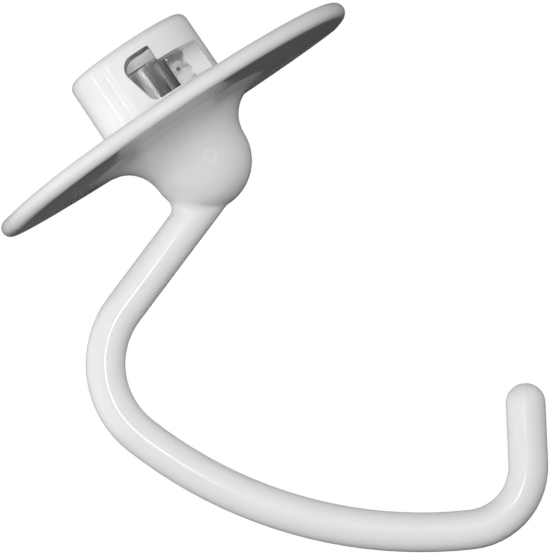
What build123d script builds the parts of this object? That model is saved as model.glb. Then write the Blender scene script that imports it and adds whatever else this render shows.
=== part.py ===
from build123d import *
import os
from math import cos, radians, sin, tan

# Stand mixer dough hook: one aluminium casting, coated all over except for its bore.
# The origin is on the bore axis at the middle of the dough shield, +Z points out of the hub's mouth,
# the hook lies in the XZ plane, where the mould parts, and the pin window opens towards -Y.

# Bore for the mixer's half-inch beater shaft
shaft_diameter = 12.7
bore_clearance = 0.2
bore_bottom_z = -8.0
bore_tip_angle = 118.0
lead_in_clearance = 0.7
lead_in_depth = 5.2
mouth_chamfer = 0.6

# Hub above the shield
hub_radius = 16.35
hub_top_z = 20.9
hub_draft_angle = 0.45
hub_top_fillet = 2.1

# Round dough shield with a full-round rim. Its rear half rises slightly behind a fold turned from the X axis
shield_radius = 48.6
shield_thickness = 4.1
shield_rise_angle = 2.6
shield_fold_angle = 20.0

# Bullet-shaped boss below the shield
boss_radius = 12.3
boss_centre_z = -11.2
boss_draft_angle = 2.0
flare_radius = 9.0
flare_run_out_angle = 12.0
flare_run_out_length = 12.0

# Round mark of an ejector pin on the front of the boss
mark_diameter = 3.1
mark_height = 0.05
mark_turn_angle = 12.3
mark_drop_angle = 5.6

# Round rod of the hook: shank, outer bend, long sweep, tip bend and tip
rod_diameter = 9.4
shank_start_z = -18.3
shank_angle = 19.2
shank_length = 36.9
outer_bend_radius = 21.6
outer_bend_angle = 88.7
sweep_radius = 108.2
sweep_angle = 44.5
tip_bend_radius = 15.1
tip_bend_angle = 86.2
tip_length = 14.4
shank_fillet = 2.6

# Pin window: a bayonet slot with a higher pin seat on its left, drawn out of the mould along -Y
window_left_x = -3.3
window_right_x = 15.2
window_floor_y = -1.6
window_bottom_z = 5.05
window_ceiling_z = 13.25
window_draft_angle = 1.5
window_corner = 0.5
seat_ceiling_z = 17.45
seat_width = 8.15
seat_corner = 3.3
ramp_foot_width = 2.15
ramp_foot_corner = 2.4
ramp_top_z = 13.8
ramp_top_corner = 2.0

# Keyway for the shaft's cross pin, from the mouth down into the window
pin_diameter = 5.0
pin_clearance = 0.5
pin_reach = 10.6
keyway_angle = 50.0
keyway_corner = 2.0
keyway_overlap = 1.0

bore_radius = (shaft_diameter + bore_clearance) / 2
lead_in_radius = bore_radius + lead_in_clearance / 2
lead_in_z = hub_top_z - lead_in_depth
bore_tip_depth = bore_radius / tan(radians(bore_tip_angle / 2))
rod_radius = rod_diameter / 2
shield_half = shield_thickness / 2
shield_flat_radius = shield_radius - shield_half
fold_tilt = radians(shield_rise_angle / 2)
fold_turn = radians(shield_fold_angle)
fold_along = (cos(fold_turn), sin(fold_turn), 0)
fold_front = (sin(fold_turn) * cos(fold_tilt), -cos(fold_turn) * cos(fold_tilt), -sin(fold_tilt))
fold_plane = Plane((0, 0, 0), x_dir=fold_along, z_dir=fold_front)
hub_top_radius = hub_radius - hub_top_z * tan(radians(hub_draft_angle))
boss_tip_z = boss_centre_z - boss_radius
flare_angle = flare_run_out_angle + boss_draft_angle - 90
mark_turn = radians(mark_turn_angle)
mark_drop = radians(mark_drop_angle)
mark_outward = Vector(sin(mark_turn) * cos(mark_drop), -cos(mark_turn) * cos(mark_drop), -sin(mark_drop))
mark_plane = Plane(Vector(0, 0, boss_centre_z) + mark_outward * boss_radius, z_dir=mark_outward)
on_base = (Align.CENTER, Align.CENTER, Align.MIN)
keyway_width = pin_diameter + pin_clearance
keyway_reach = pin_reach + pin_clearance
keyway_turn = radians(keyway_angle)
keyway_direction = (sin(keyway_turn), -cos(keyway_turn), 0)
seat_right_x = window_left_x + seat_width
window_corners = [
    (window_left_x + ramp_foot_width, window_bottom_z),
    (window_right_x, window_bottom_z),
    (window_right_x, window_ceiling_z),
    (seat_right_x, window_ceiling_z),
    (seat_right_x, seat_ceiling_z),
    (window_left_x, seat_ceiling_z),
    (window_left_x, ramp_top_z),
]
window_radii = [
    ramp_foot_corner,
    window_corner,
    window_corner,
    window_corner,
    window_corner,
    seat_corner,
    ramp_top_corner,
]

with BuildPart() as dough_hook:
    # Shield: the front half of a disc, mirrored across the fold so that its back half rises
    with BuildSketch(Plane.XZ):
        Rectangle(shield_flat_radius, shield_thickness, align=(Align.MIN, Align.CENTER))
        with Locations((shield_flat_radius, 0)):
            Circle(shield_half)
    revolve(axis=Axis.Z)
    split(bisect_by=fold_plane, keep=Keep.TOP)
    mirror(about=fold_plane)

    # Hub: a slightly tapered sleeve
    with BuildSketch(Plane.XZ):
        Polygon(
            (0, 0),
            (hub_radius, 0),
            (hub_top_radius, hub_top_z),
            (0, hub_top_z),
            align=None,
        )
    revolve(axis=Axis.Z)
    hub_rim = edges().filter_by(GeomType.CIRCLE).group_by(Axis.Z)[-1]
    fillet(hub_rim, hub_top_fillet)

    # Boss: a round nose below a flare that runs out under the shield
    with BuildSketch(Plane.XZ):
        with BuildLine():
            nose = CenterArc((0, boss_centre_z), boss_radius, -90, 90 - boss_draft_angle)
            flare = JernArc(nose @ 1, nose % 1, flare_radius, flare_angle)
            run_out = Line(flare @ 1, flare @ 1 + (flare % 1) * flare_run_out_length)
            Polyline(run_out @ 1, (0, (run_out @ 1).Z), nose @ 0)
        make_face()
    revolve(axis=Axis.Z)

    # Rod: one round section along the hook's line, with a domed tip
    with BuildLine(Plane.XZ) as hook_line:
        shank = PolarLine((0, shank_start_z), shank_length, 180 + shank_angle)
        outer_bend = JernArc(shank @ 1, shank % 1, outer_bend_radius, outer_bend_angle)
        sweep_arc = JernArc(outer_bend @ 1, outer_bend % 1, sweep_radius, sweep_angle)
        tip_bend = JernArc(sweep_arc @ 1, sweep_arc % 1, tip_bend_radius, tip_bend_angle)
        Line(tip_bend @ 1, tip_bend @ 1 + (tip_bend % 1) * tip_length)
    hook_path = hook_line.wire()
    with BuildSketch(Plane(origin=hook_path @ 0, z_dir=hook_path % 0)):
        Circle(rod_radius)
    sweep(path=hook_path)
    with Locations(Plane(origin=hook_path @ 1, z_dir=hook_path % 1)):
        Sphere(rod_radius, arc_size1=0, align=on_base)

    # Bore with a drilled end, a wider lead-in and a chamfered mouth
    with BuildSketch(Plane.XZ):
        Polygon(
            (0, bore_bottom_z - bore_tip_depth),
            (bore_radius, bore_bottom_z),
            (bore_radius, lead_in_z),
            (lead_in_radius, lead_in_z),
            (lead_in_radius, hub_top_z - mouth_chamfer),
            (lead_in_radius + mouth_chamfer, hub_top_z),
            (0, hub_top_z),
            align=None,
        )
    revolve(axis=Axis.Z, mode=Mode.SUBTRACT)

    # Pin window, cut inwards from the hub's face
    with BuildSketch(Plane.XZ.offset(hub_radius)):
        with BuildLine():
            Polyline(*window_corners, close=True)
        make_face()
        for corner, radius in zip(window_corners, window_radii):
            fillet(vertices().sort_by_distance(corner)[0], radius)
    extrude(amount=-(hub_radius + window_floor_y), taper=window_draft_angle, mode=Mode.SUBTRACT)

    # Keyway, closed on the outside by the hub's upper ring
    with BuildSketch(Plane((0, 0, hub_top_z), x_dir=keyway_direction, z_dir=(0, 0, 1))):
        with Locations((keyway_reach / 2, 0)):
            Rectangle(keyway_reach, keyway_width)
        fillet(vertices().group_by(Axis.X)[-1], keyway_corner)
    extrude(amount=window_ceiling_z - keyway_overlap - hub_top_z, mode=Mode.SUBTRACT)

    # Blend where the rod leaves the boss
    rod_face = faces().filter_by(GeomType.CYLINDER).sort_by_distance(shank @ 0.6)[0]
    nose_face = faces().filter_by(GeomType.SPHERE).sort_by_distance((0, 0, boss_tip_z))[0]
    joint_edges = [edge for edge in rod_face.edges() if edge in nose_face.edges()]
    fillet(joint_edges, shank_fillet)

    # Ejector mark: a flat round pad that stands a little proud of the boss
    with BuildSketch(mark_plane.offset(mark_height)):
        Circle(mark_diameter / 2)
    extrude(amount=-mark_diameter / 2)

dough_hook.part.label = "dough_hook"
os.makedirs("parts", exist_ok=True)
export_step(dough_hook.part, "parts/dough_hook.step")
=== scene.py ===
"""Looks of the stand mixer dough hook: its coating and bare metal, the camera, the stage and the light."""

import math
from types import SimpleNamespace

import bpy
from mathutils import Matrix, Vector


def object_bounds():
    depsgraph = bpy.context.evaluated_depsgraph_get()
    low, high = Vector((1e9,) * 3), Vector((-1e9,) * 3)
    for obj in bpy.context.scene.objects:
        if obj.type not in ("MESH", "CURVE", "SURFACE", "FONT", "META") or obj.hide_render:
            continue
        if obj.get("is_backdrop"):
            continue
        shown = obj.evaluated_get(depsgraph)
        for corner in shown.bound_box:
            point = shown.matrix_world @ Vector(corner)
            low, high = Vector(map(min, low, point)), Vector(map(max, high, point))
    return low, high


MM = 0.001

# The photograph's frame, in pixels, and the camera that it was taken with
IMAGE_WIDTH = 550
IMAGE_HEIGHT = 554
ORIGIN_PIXEL = (174.1, 121.6)
PIXELS_PER_METRE = 4201.7
VIEW_DISTANCE = 2.5
VIEW_ELEVATION = math.radians(-4.6)
VIEW_ROLL = math.radians(33.95)
VIEW_CLIP_END = 50.0
SENSOR_WIDTH_MM = 36.0

# Coating: grey levels, roughness, the scale of its unevenness, and the painted highlight in a ring round
# the ejector mark
COAT_DARK = 0.84
COAT_LIGHT = 0.88
COAT_GLOSSIEST = 0.05
COAT_DULLEST = 0.09
COAT_IOR = 1.5
COAT_SCALE = 45.0
MARK_CENTRE = (2.61 * MM, -11.96 * MM, -12.40 * MM)
MARK_RADIUS = 1.45 * MM
MARK_RING_WIDTH = 0.3 * MM
MARK_RING_HIGHLIGHT = 0.96

# Bore: its extent, its lead-in above a step, and the dark line of painted shade and dirt at that step,
# which weakens towards +X
BORE_EDGE_RADIUS = 6.9 * MM
BORE_LOWEST = -13.0 * MM
BORE_DARK = 0.60
BORE_LIGHT = 0.95
LEAD_IN_HEIGHT = 15.7 * MM
LEAD_IN_DARK = 0.85
LEAD_IN_LIGHT = 1.0
STEP_SHADE_AND_DIRT = 0.25
STEP_LINE_CORE = 0.1 * MM
STEP_LINE_EDGE = 0.3 * MM
STEP_FADE_X = 1.0 * MM
STEP_FADE_LENGTH = 2.0 * MM
STEP_FADE_STRENGTH = 0.2

# Window: its extent, and where the coating starts again, at an edge that noise moves
WINDOW_FLOOR_Y = -1.6 * MM
WINDOW_FLOOR_TOLERANCE = 0.05 * MM
WINDOW_LEFT_X = -4.0 * MM
WINDOW_MIDDLE_Z = 11.0 * MM
WINDOW_HALF_HEIGHT = 7.0 * MM
WALLS_MIDDLE_RADIUS = 11.5 * MM
WALLS_HALF_WIDTH = 4.5 * MM
WINDOW_BARE_X = 10.7 * MM
EDGE_SHIFT = 3.0 * MM
EDGE_START = WINDOW_BARE_X + 1.2 * MM
EDGE_END = WINDOW_BARE_X + 2.0 * MM
EDGE_SCALE = 500.0
WINDOW_COAT_ROUGHNESS = 0.45

# Cast surface in the window: grey levels, painted shade under the window's ceiling above a height that
# noise moves, and one pit painted dark as the shade in its hollow
CAST_DARK = 0.15
CAST_LIGHT = 0.76
SPECKLE_LEVEL = 0.45
CEILING_SHADE_HEIGHT = 11.0 * MM
CEILING_SHADE_SHIFT = 6.0 * MM
CEILING_SHADE_START = CEILING_SHADE_HEIGHT + 2.5 * MM
CEILING_SHADE_END = CEILING_SHADE_HEIGHT + 4.0 * MM
CEILING_SHADE_SCALE = 600.0
CEILING_SHADE_LEVEL = 0.3
WALLS_CEILING_SHADE_LEVEL = 0.8
PIT_CENTRE = (7.8 * MM, WINDOW_FLOOR_Y, 9.7 * MM)
PIT_RADIUS = 0.3 * MM
PIT_EDGE_RADIUS = 0.7 * MM

# Bare metal: stretch, scale, contrast and height of its grain, and how metallic and rough it is
ALONG_BORE = (1.0, 1.0, 0.06)
ROUND_BORE = (0.05, 0.05, 1.0)
STREAK_SCALE = 1400.0
RING_SCALE = 2600.0
RING_CONTRAST = 0.4
RING_BASE = 0.3
MOTTLE_SCALE = 480.0
GRAIN_LOW = 0.3
GRAIN_HIGH = 0.6
GRAIN_HEIGHT = 0.02 * MM
MACHINED_METALLIC = 0.95
MACHINED_DULLEST = 0.24
MACHINED_GLOSSIEST = 0.1
SCATTERING_METALLIC = 0.35
SCATTERING_ROUGHNESS = 0.5

# Surround: which way it is dark in reflections, between which shares of that way, and how dark
DARK_SIDE = (0.7, 0.55, -0.5)
DARK_START = -0.9
DARK_END = 0.1
DARK_LEVEL = 0.05

# Floor
FLOOR_DROP = 2.6
FLOOR_SIZE = 80.0
FLOOR_PALE = 0.8
FLOOR_DARK = 0.06
FLOOR_LIFT = 0.97

# Broad panels that light the surface: name, azimuth and elevation in degrees, power in watts
PANEL_DISTANCE = 1.4
PANEL_SIZE = 0.9
PANELS = (
    ("front_panel", 0.0, 12.0, 6.6),
    ("left_front_panel", -35.0, 12.0, 8.2),
    ("left_panel", -105.0, 12.0, 8.0),
    ("high_left_panel", -105.0, 40.0, 3.3),
    ("right_front_panel", 35.0, -12.0, 6.0),
    ("right_panel", 105.0, 12.0, 6.4),
    ("low_panel", 0.0, -40.0, 2.6),
    ("rear_panel", 180.0, 12.0, 8.0),
    ("high_rear_panel", 180.0, 55.0, 8.0),
)

# Upright strips that only show in reflections: name, azimuth in degrees, width, power in watts
STRIP_ELEVATION = 4.0
STRIP_DISTANCE = 1.2
STRIP_HEIGHT = 0.8
STRIPS = (
    ("left_strip", -54.0, 0.04, 0.42),
    ("near_left_strip", -44.0, 0.02, 0.3),
    ("far_left_strip", -78.0, 0.04, 0.5),
    ("right_strip", 29.0, 0.02, 0.12),
)

# One small lamp in front of the hook that only shows in reflections
FRONT_LIGHT_AZIMUTH = -3.4
FRONT_LIGHT_ELEVATION = 4.4
FRONT_LIGHT_DISTANCE = 0.6
FRONT_LIGHT_SIZE = 0.05
FRONT_LIGHT_POWER = 0.1


def link(tree, source, target):
    """Join a node's first output, or a socket, to a socket."""
    socket = source.outputs[0] if hasattr(source, "outputs") else source
    tree.links.new(socket, target)


def set_or_link(tree, value, socket):
    """Give a socket a number, or join it to a node or another socket."""
    if isinstance(value, (int, float)):
        socket.default_value = value
    else:
        link(tree, value, socket)


def math_node(tree, operation, first, second=0.0, third=0.0):
    """A Math node whose inputs are sockets, nodes or numbers."""
    node = tree.nodes.new("ShaderNodeMath")
    node.operation = operation
    for socket, value in zip(node.inputs, (first, second, third)):
        set_or_link(tree, value, socket)
    return node


def times(tree, first, second):
    """The product, which for two masks is where both hold."""
    return math_node(tree, "MULTIPLY", first, second)


def either(tree, first, second):
    """The greater value, which for two masks is where at least one holds."""
    return math_node(tree, "MAXIMUM", first, second)


def difference(tree, first, second):
    """How far apart two values are."""
    return math_node(tree, "ABSOLUTE", math_node(tree, "SUBTRACT", first, second))


def distance(tree, vector, centre):
    """The vector's distance from a point."""
    node = tree.nodes.new("ShaderNodeVectorMath")
    node.operation = "DISTANCE"
    link(tree, vector, node.inputs[0])
    node.inputs[1].default_value = centre
    return node.outputs["Value"]


def ramp(tree, value, low, high, low_to=0.0, high_to=1.0):
    """A smooth change from low_to to high_to while value goes from low to high."""
    node = tree.nodes.new("ShaderNodeMapRange")
    node.interpolation_type = "SMOOTHSTEP"
    link(tree, value, node.inputs["Value"])
    for name, number in (("From Min", low), ("From Max", high), ("To Min", low_to), ("To Max", high_to)):
        node.inputs[name].default_value = number
    return node


def noise(tree, vector, scale, detail=2.0, roughness=0.5):
    """Noise between 0 and 1, with its scale in cycles per metre."""
    node = tree.nodes.new("ShaderNodeTexNoise")
    link(tree, vector, node.inputs["Vector"])
    node.inputs["Scale"].default_value = scale
    node.inputs["Detail"].default_value = detail
    node.inputs["Roughness"].default_value = roughness
    return node


def stretched(tree, vector, scale):
    """The vector with each axis scaled."""
    node = tree.nodes.new("ShaderNodeMapping")
    node.vector_type = "POINT"
    link(tree, vector, node.inputs["Vector"])
    node.inputs["Scale"].default_value = scale
    return node


def mix(tree, factor, first, second):
    """A number that goes from first to second as factor goes from 0 to 1."""
    node = tree.nodes.new("ShaderNodeMix")
    node.data_type = "FLOAT"
    for name, value in (("Factor", factor), ("A", first), ("B", second)):
        socket = next(s for s in node.inputs if s.name == name and s.type == "VALUE")
        set_or_link(tree, value, socket)
    return node


def mix_colour(tree, factor, first, second):
    """A colour that goes from first to second as factor goes from 0 to 1. A number stands for a grey."""
    node = tree.nodes.new("ShaderNodeMix")
    node.data_type = "RGBA"
    link(tree, factor, node.inputs[0])
    colours = [s for s in node.inputs if s.type == "RGBA"]
    for socket, value in zip(colours, (first, second)):
        if isinstance(value, float):
            socket.default_value = (value, value, value, 1.0)
        else:
            link(tree, value, socket)
    return next(s for s in node.outputs if s.type == "RGBA")


def casting_masks(tree, place):
    """Where the lead-in, the window's floor and inside, its cast surface and all the bare metal are."""
    axes = tree.nodes.new("ShaderNodeSeparateXYZ")
    link(tree, place, axes.inputs[0])
    x, y, z = axes.outputs
    radius = math_node(tree, "SQRT", math_node(tree, "ADD", times(tree, x, x), times(tree, y, y)))

    within = math_node(tree, "LESS_THAN", radius, BORE_EDGE_RADIUS)
    in_bore = times(tree, within, math_node(tree, "GREATER_THAN", z, BORE_LOWEST))
    in_lead = times(tree, in_bore, math_node(tree, "GREATER_THAN", z, LEAD_IN_HEIGHT))

    on_plane = math_node(tree, "COMPARE", y, WINDOW_FLOOR_Y, WINDOW_FLOOR_TOLERANCE)
    in_walls = math_node(tree, "COMPARE", radius, WALLS_MIDDLE_RADIUS, WALLS_HALF_WIDTH)
    in_height = math_node(tree, "COMPARE", z, WINDOW_MIDDLE_Z, WINDOW_HALF_HEIGHT)
    in_window = times(tree, in_height, math_node(tree, "GREATER_THAN", x, WINDOW_LEFT_X))
    inside = times(tree, either(tree, on_plane, in_walls), in_window)
    ragged = math_node(tree, "MULTIPLY_ADD", noise(tree, place, EDGE_SCALE, detail=3.0), EDGE_SHIFT, x)
    on_cast = times(tree, inside, ramp(tree, ragged, EDGE_END, EDGE_START))
    return SimpleNamespace(x=x, z=z, in_lead=in_lead, on_plane=on_plane, inside=inside, on_cast=on_cast,
                           bare=either(tree, in_bore, on_cast))


def metal_grain(tree, place, masks):
    """Streaks along the bore, turning rings in its lead-in and a mottle on the cast surface."""
    streak = noise(tree, stretched(tree, place, ALONG_BORE), STREAK_SCALE, detail=4.0, roughness=0.6)
    rings = noise(tree, stretched(tree, place, ROUND_BORE), RING_SCALE)
    mottle = noise(tree, place, MOTTLE_SCALE, detail=5.0, roughness=0.65)
    faint_rings = math_node(tree, "MULTIPLY_ADD", rings, RING_CONTRAST, RING_BASE)
    turned = mix(tree, masks.in_lead, streak, faint_rings)
    return ramp(tree, mix(tree, masks.on_cast, turned, mottle), GRAIN_LOW, GRAIN_HIGH)


def coat_colour(tree, place, tone):
    """White, faintly uneven, with a painted highlight: a lighter ring round the ejector mark, where light
    catches the edge of its raised pad.
    """
    coat = mix_colour(tree, tone, COAT_DARK, COAT_LIGHT)
    off_ring = difference(tree, distance(tree, place, MARK_CENTRE), MARK_RADIUS)
    # The lighter ring is a painted highlight, standing in for light on the edge of the mark's raised pad.
    return mix_colour(tree, ramp(tree, off_ring, MARK_RING_WIDTH, 0.0), coat, MARK_RING_HIGHLIGHT)


def bore_colour(tree, masks, grain):
    """Machined metal, lighter in the lead-in, with a dark line of painted shade and dirt at the step
    between them, weakening towards +X.
    """
    bored = mix_colour(tree, grain, BORE_DARK, BORE_LIGHT)
    lead_in = mix_colour(tree, grain, LEAD_IN_DARK, LEAD_IN_LIGHT)
    machined = mix_colour(tree, masks.in_lead, bored, lead_in)
    # The dark line at the step is painted shade and dirt, and it weakens towards +X.
    line = ramp(tree, difference(tree, masks.z, LEAD_IN_HEIGHT), STEP_LINE_EDGE, STEP_LINE_CORE)
    fade = ramp(tree, masks.x, STEP_FADE_X, STEP_FADE_X + STEP_FADE_LENGTH, 1.0, STEP_FADE_STRENGTH)
    return mix_colour(tree, times(tree, line, fade), machined, STEP_SHADE_AND_DIRT)


def cast_colour(tree, place, masks, grain):
    """Speckled metal with painted shade in the upper part of the window, under its ceiling, slight on its
    walls, and one pit painted dark as the shade in its hollow.
    """
    patches = noise(tree, place, CEILING_SHADE_SCALE, detail=4.0, roughness=0.6)
    # Darker above a height that noise moves: painted shade under the window's ceiling.
    shade_height = math_node(tree, "MULTIPLY_ADD", patches, CEILING_SHADE_SHIFT, masks.z)
    unshaded = ramp(tree, shade_height, CEILING_SHADE_END, CEILING_SHADE_START, CEILING_SHADE_LEVEL, 1.0)
    unshaded = mix(tree, masks.on_plane, either(tree, unshaded, WALLS_CEILING_SHADE_LEVEL), unshaded)
    # The pit has no hollow in the mesh; its dark spot is painted shade standing in for one.
    off_pit = ramp(tree, distance(tree, place, PIT_CENTRE), PIT_RADIUS, PIT_EDGE_RADIUS)
    speckle = ramp(tree, grain, 0.0, 1.0, SPECKLE_LEVEL, 1.0)
    return mix_colour(tree, times(tree, times(tree, unshaded, off_pit), speckle), CAST_DARK, CAST_LIGHT)


def coated_casting():
    """White gloss coating over the casting, with bare metal in the bore and inside the window."""
    material = bpy.data.materials.new("white_coating")
    material.use_nodes = True
    tree = material.node_tree
    shader = tree.nodes["Principled BSDF"]
    place = tree.nodes.new("ShaderNodeTexCoord").outputs["Object"]
    masks = casting_masks(tree, place)
    tone = noise(tree, place, COAT_SCALE, detail=3.0)
    grain = metal_grain(tree, place, masks)
    scattering = either(tree, masks.in_lead, masks.on_cast)

    bored = bore_colour(tree, masks, grain)
    metal = mix_colour(tree, masks.on_cast, bored, cast_colour(tree, place, masks, grain))
    colour = mix_colour(tree, masks.bare, coat_colour(tree, place, tone), metal)
    link(tree, colour, shader.inputs["Base Color"])

    metallic = mix(tree, scattering, MACHINED_METALLIC, SCATTERING_METALLIC)
    link(tree, times(tree, masks.bare, metallic), shader.inputs["Metallic"])

    coat_roughness = mix(tree, tone, COAT_GLOSSIEST, COAT_DULLEST)
    coat_roughness = mix(tree, masks.inside, coat_roughness, WINDOW_COAT_ROUGHNESS)
    metal_roughness = ramp(tree, grain, 0.0, 1.0, MACHINED_DULLEST, MACHINED_GLOSSIEST)
    metal_roughness = mix(tree, scattering, metal_roughness, SCATTERING_ROUGHNESS)
    link(tree, mix(tree, masks.bare, coat_roughness, metal_roughness), shader.inputs["Roughness"])
    shader.inputs["IOR"].default_value = COAT_IOR

    bump = tree.nodes.new("ShaderNodeBump")
    bump.inputs["Strength"].default_value = 1.0
    bump.inputs["Distance"].default_value = 1.0
    link(tree, times(tree, times(tree, grain, masks.bare), GRAIN_HEIGHT), bump.inputs["Height"])
    link(tree, bump, shader.inputs["Normal"])
    return material


def seen_directly(tree):
    """1 for what the camera, a reflection or a see-through surface shows, 0 for light that spreads."""
    path = tree.nodes.new("ShaderNodeLightPath")
    shown = either(tree, path.outputs["Is Camera Ray"], path.outputs["Is Glossy Ray"])
    return either(tree, shown, path.outputs["Is Transmission Ray"])


def make_world():
    """A white surround to look at. In reflections it darkens towards the right rear and below."""
    world = bpy.data.worlds.new("studio")
    bpy.context.scene.world = world
    world.use_nodes = True
    tree = world.node_tree
    background = tree.nodes["Background"]
    toward_dark = tree.nodes.new("ShaderNodeVectorMath")
    toward_dark.operation = "DOT_PRODUCT"
    link(tree, tree.nodes.new("ShaderNodeTexCoord").outputs["Generated"], toward_dark.inputs[0])
    toward_dark.inputs[1].default_value = DARK_SIDE
    path = tree.nodes.new("ShaderNodeLightPath")
    mirrored = ramp(tree, toward_dark.outputs["Value"], DARK_START, DARK_END, 1.0, DARK_LEVEL)
    shown = mix(tree, path.outputs["Is Glossy Ray"], 1.0, mirrored)
    link(tree, times(tree, seen_directly(tree), shown), background.inputs["Strength"])
    background.inputs["Color"].default_value = (1.0, 1.0, 1.0, 1.0)


def make_floor(height):
    """A plain pale floor far below the hanging hook, lifted to white for the camera.

    It throws little light back up at the hook.
    """
    half = FLOOR_SIZE / 2
    corners = [(-half, -half, height), (half, -half, height), (half, half, height), (-half, half, height)]
    mesh = bpy.data.meshes.new("floor")
    mesh.from_pydata(corners, [], [(0, 1, 2, 3)])
    floor = bpy.data.objects.new("floor", mesh)
    bpy.context.scene.collection.objects.link(floor)
    material = bpy.data.materials.new("floor")
    material.use_nodes = True
    tree = material.node_tree
    tree.nodes.remove(tree.nodes["Principled BSDF"])
    surface = tree.nodes.new("ShaderNodeBsdfDiffuse")
    link(tree, mix_colour(tree, seen_directly(tree), FLOOR_DARK, FLOOR_PALE), surface.inputs["Color"])
    lift = tree.nodes.new("ShaderNodeEmission")
    camera_ray = tree.nodes.new("ShaderNodeLightPath").outputs["Is Camera Ray"]
    link(tree, times(tree, camera_ray, FLOOR_LIFT), lift.inputs["Strength"])
    both = tree.nodes.new("ShaderNodeAddShader")
    link(tree, surface, both.inputs[0])
    link(tree, lift, both.inputs[1])
    link(tree, both, tree.nodes["Material Output"].inputs["Surface"])
    mesh.materials.append(material)
    floor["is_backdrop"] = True


def facing(location, target, across):
    """A matrix at location whose -Z looks at target and whose X lies along across."""
    back = (location - target).normalized()
    side = (across - back * across.dot(back)).normalized()
    matrix = Matrix((side, back.cross(side), back)).transposed().to_4x4()
    matrix.translation = location
    return matrix


def make_camera():
    """The photograph's camera, a long way off and turned about its line of sight."""
    to_camera = Vector((0.0, -math.cos(VIEW_ELEVATION), math.sin(VIEW_ELEVATION)))
    right = Vector((1.0, 0.0, 0.0))
    up = to_camera.cross(right)
    image_x = right * math.cos(VIEW_ROLL) - up * math.sin(VIEW_ROLL)
    image_y = right * math.sin(VIEW_ROLL) + up * math.cos(VIEW_ROLL)
    look_at = image_x * (IMAGE_WIDTH / 2 - ORIGIN_PIXEL[0]) - image_y * (IMAGE_HEIGHT / 2 - ORIGIN_PIXEL[1])
    look_at = look_at / PIXELS_PER_METRE
    data = bpy.data.cameras.new("camera")
    data.sensor_fit = "HORIZONTAL"
    data.sensor_width = SENSOR_WIDTH_MM
    data.lens = SENSOR_WIDTH_MM * PIXELS_PER_METRE * VIEW_DISTANCE / IMAGE_WIDTH
    data.clip_end = VIEW_CLIP_END
    camera = bpy.data.objects.new("camera", data)
    bpy.context.scene.collection.objects.link(camera)
    camera.matrix_world = facing(to_camera * VIEW_DISTANCE, look_at, image_x)
    bpy.context.scene.camera = camera


def make_lamp(name, target, azimuth, elevation, reach, width, height, power, mirrored=False):
    """A soft box aimed at target, left out of reflections or, if mirrored, only for reflections.

    Azimuth 0 is on the camera's side, and grows towards +X.
    """
    turn, rise = math.radians(azimuth), math.radians(elevation)
    way = Vector((math.sin(turn) * math.cos(rise), -math.cos(turn) * math.cos(rise), math.sin(rise)))
    data = bpy.data.lights.new(name, "AREA")
    data.shape = "RECTANGLE"
    data.size = width
    data.size_y = height
    data.energy = power
    lamp = bpy.data.objects.new(name, data)
    bpy.context.scene.collection.objects.link(lamp)
    lamp.visible_glossy = mirrored
    lamp.visible_diffuse = not mirrored
    across = Vector((-way.y, way.x, 0.0))
    lamp.matrix_world = facing(target + way * reach, target, across)


def make_lamps(target):
    """The panels that light the hook, then the lamps for its reflections."""
    for name, azimuth, elevation, power in PANELS:
        make_lamp(name, target, azimuth, elevation, PANEL_DISTANCE, PANEL_SIZE, PANEL_SIZE, power)
    for name, azimuth, width, power in STRIPS:
        make_lamp(name, target, azimuth, STRIP_ELEVATION, STRIP_DISTANCE, width, STRIP_HEIGHT, power,
                  mirrored=True)
    make_lamp("front_light", target, FRONT_LIGHT_AZIMUTH, FRONT_LIGHT_ELEVATION, FRONT_LIGHT_DISTANCE,
              FRONT_LIGHT_SIZE, FRONT_LIGHT_SIZE, FRONT_LIGHT_POWER, mirrored=True)


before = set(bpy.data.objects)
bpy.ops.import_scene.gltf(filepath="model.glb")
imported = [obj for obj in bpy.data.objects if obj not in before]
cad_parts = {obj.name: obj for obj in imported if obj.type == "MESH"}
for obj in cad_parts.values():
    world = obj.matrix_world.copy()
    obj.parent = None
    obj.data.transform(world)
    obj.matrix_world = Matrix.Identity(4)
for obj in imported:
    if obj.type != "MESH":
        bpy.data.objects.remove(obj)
CAD_LOW, CAD_HIGH = (Vector(corner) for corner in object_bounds())
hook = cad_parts["dough_hook"]
hook.data.materials.clear()
hook.data.materials.append(coated_casting())
for polygon in hook.data.polygons:
    polygon.use_smooth = True

make_camera()
make_world()
make_floor(CAD_LOW.z - FLOOR_DROP)
make_lamps((CAD_LOW + CAD_HIGH) / 2)

bpy.context.scene.view_settings.view_transform = "Standard"
